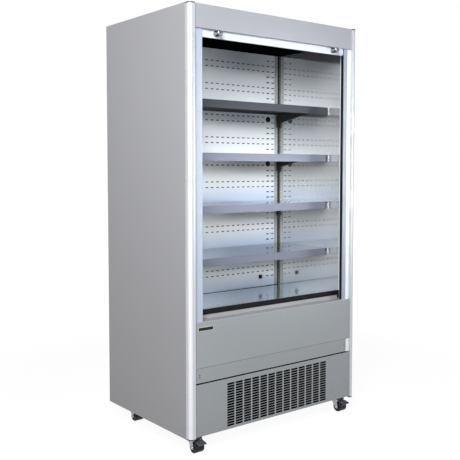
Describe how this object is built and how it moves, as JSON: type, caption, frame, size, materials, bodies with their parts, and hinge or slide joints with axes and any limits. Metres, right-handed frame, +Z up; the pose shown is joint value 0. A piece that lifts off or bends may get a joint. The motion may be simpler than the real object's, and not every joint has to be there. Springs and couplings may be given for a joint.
{
  "type": "open multideck display fridge",
  "caption": "Open-front multideck display fridge with shelves, polished side walls, a pull-down night blind, louvred base and braked castors.",
  "frame": {"origin": "middle of the footprint, on the floor", "axes": "+X to the right across the front, +Y into the depth with the open front facing -Y, +Z up"},
  "size_m": [1.006, 0.709, 1.9],
  "materials": {
    "side_paint": "smooth grey paint, satin",
    "post_paint": "smooth light grey, satin",
    "front_paint": "smooth grey paint, satin",
    "lower_paint": "smooth grey paint, satin",
    "dark_plastic": "moulded, matt",
    "foam": "rigid polyurethane foam, dull",
    "polished_steel": "polished stainless steel",
    "jamb_white": "white paint, satin",
    "guide_black": "extruded, matt",
    "sill_metal": "light grey, satin",
    "band_rubber": "black rubber",
    "white_plastic": "white, satin",
    "black_metal": "black paint, satin",
    "lamp_diffuser": "milky diffuser",
    "outlet_plastic": "moulded, matt",
    "badge_metal": "dark plate with a bright rim",
    "screw_steel": "zinc plated",
    "wall_paint": "pale grey paint, satin",
    "shelf_paint": "grey paint, satin",
    "bracket_paint": "dark grey paint",
    "bar_white": "white coated extrusion",
    "knob_chrome": "polished",
    "blind_cloth": "woven aluminised cloth",
    "galvanised": "zinc coated",
    "coil_aluminium": "bare fins",
    "coil_black": "black coated fins",
    "fan_plastic": "moulded, matt",
    "compressor_black": "black enamel",
    "tray_plastic": "moulded, matt",
    "box_plastic": "dark, moulded, matt",
    "copper": "bare copper tube",
    "wheel_black": "black nylon",
    "pedal_plastic": "moulded, matt"
  },
  "bodies": {
    "cabinet": {"chassis_pan": "black_metal", "side_panel_left": "side_paint", "side_panel_right": "side_paint", "rear_panel": "galvanised", "roof_panel": "side_paint", "foam_insulation": "foam", "inner_liners": "polished_steel", "corner_posts": "post_paint", "post_end_caps": "dark_plastic", "canopy_fascia": "front_paint", "ceiling_panel": "black_metal", "air_outlet": "outlet_plastic", "canopy_lamp": "lamp_diffuser", "jambs": "jamb_white", "guide_channels": "guide_black", "sill": "sill_metal", "sill_band": "band_rubber", "return_grille": "white_plastic", "front_panel": "lower_paint", "service_strip": "lower_paint", "strip_end_cap": "white_plastic", "grille_panel": "lower_paint", "badge_plate": "badge_metal", "fasteners": "screw_steel", "rear_wall_upper": "wall_paint", "rear_wall_lower": "wall_paint", "slotted_uprights": "galvanised", "wall_fittings": "dark_plastic", "shelf_1": "shelf_paint", "shelf_2": "shelf_paint", "shelf_3": "shelf_paint", "shelf_4": "shelf_paint", "shelf_brackets": "bracket_paint", "base_deck": "polished_steel", "blind_brackets": "galvanised", "evaporator_coil": "coil_aluminium", "evaporator_fan_plate": "galvanised", "compressor": "compressor_black", "condenser_coil": "coil_black", "condenser_fan_cowl": "black_metal", "drip_tray": "tray_plastic", "control_box": "box_plastic", "pipework": "copper", "castor_plates": "galvanised"},
    "blind": {"blind_bar": "bar_white", "blind_knobs": "knob_chrome", "blind_fabric": "blind_cloth"},
    "roller": {"blind_roller": "blind_cloth"},
    "evaporator_fan": {"evaporator_rotor": "fan_plastic"},
    "condenser_fan": {"condenser_rotor": "fan_plastic"},
    "castor_front_left": {"castor_fork_front_left": "galvanised"},
    "wheel_front_left": {"castor_wheel_front_left": "wheel_black"},
    "brake_front_left": {"brake_pedal_front_left": "pedal_plastic"},
    "castor_front_right": {"castor_fork_front_right": "galvanised"},
    "wheel_front_right": {"castor_wheel_front_right": "wheel_black"},
    "brake_front_right": {"brake_pedal_front_right": "pedal_plastic"},
    "castor_rear_left": {"castor_fork_rear_left": "galvanised"},
    "wheel_rear_left": {"castor_wheel_rear_left": "wheel_black"},
    "castor_rear_right": {"castor_fork_rear_right": "galvanised"},
    "wheel_rear_right": {"castor_wheel_rear_right": "wheel_black"}
  },
  "joints": [
    {"name": "blind_pull", "type": "slide", "parent": "cabinet", "child": "blind", "axis": [0, 0, -1], "range_m": [0, 1.19], "stiffness_N_per_m": 5, "springref_m": -4, "deforming": ["blind_fabric"]},
    {"name": "blind_roller_turn", "type": "hinge", "parent": "cabinet", "child": "roller", "pos_m": [0, -0.2919, 1.836], "axis": [1, 0, 0], "range_deg": [0, 3105]},
    {"name": "evaporator_fan_spin", "type": "hinge", "parent": "cabinet", "child": "evaporator_fan", "pos_m": [0, -0.1395, 0.47425], "axis": [0, 1, 0], "continuous": true},
    {"name": "condenser_fan_spin", "type": "hinge", "parent": "cabinet", "child": "condenser_fan", "pos_m": [-0.06, -0.2335, 0.1825], "axis": [0, 1, 0], "continuous": true},
    {"name": "castor_swivel_front_left", "type": "hinge", "parent": "cabinet", "child": "castor_front_left", "pos_m": [-0.442, -0.2775, 0.0672], "axis": [0, 0, 1], "continuous": true},
    {"name": "wheel_roll_front_left", "type": "hinge", "parent": "castor_front_left", "child": "wheel_front_left", "pos_m": [-0.442, -0.3025, 0.025], "axis": [1, 0, 0], "continuous": true},
    {"name": "brake_press_front_left", "type": "hinge", "parent": "castor_front_left", "child": "brake_front_left", "pos_m": [-0.442, -0.2995, 0.0575], "axis": [1, 0, 0], "range_deg": [0, 8]},
    {"name": "castor_swivel_front_right", "type": "hinge", "parent": "cabinet", "child": "castor_front_right", "pos_m": [0.442, -0.2775, 0.0672], "axis": [0, 0, 1], "continuous": true},
    {"name": "wheel_roll_front_right", "type": "hinge", "parent": "castor_front_right", "child": "wheel_front_right", "pos_m": [0.442, -0.3025, 0.025], "axis": [1, 0, 0], "continuous": true},
    {"name": "brake_press_front_right", "type": "hinge", "parent": "castor_front_right", "child": "brake_front_right", "pos_m": [0.442, -0.2995, 0.0575], "axis": [1, 0, 0], "range_deg": [0, 8]},
    {"name": "castor_swivel_rear_left", "type": "hinge", "parent": "cabinet", "child": "castor_rear_left", "pos_m": [-0.433, 0.2305, 0.0672], "axis": [0, 0, 1], "continuous": true},
    {"name": "wheel_roll_rear_left", "type": "hinge", "parent": "castor_rear_left", "child": "wheel_rear_left", "pos_m": [-0.433, 0.2055, 0.025], "axis": [1, 0, 0], "continuous": true},
    {"name": "castor_swivel_rear_right", "type": "hinge", "parent": "cabinet", "child": "castor_rear_right", "pos_m": [0.433, 0.2305, 0.0672], "axis": [0, 0, 1], "continuous": true},
    {"name": "wheel_roll_rear_right", "type": "hinge", "parent": "castor_rear_right", "child": "wheel_rear_right", "pos_m": [0.433, 0.2055, 0.025], "axis": [1, 0, 0], "continuous": true}
  ],
  "couplings": [
    {"joint": "blind_roller_turn", "follows": "blind_pull", "rad_per_m": 45.455}
  ]
}
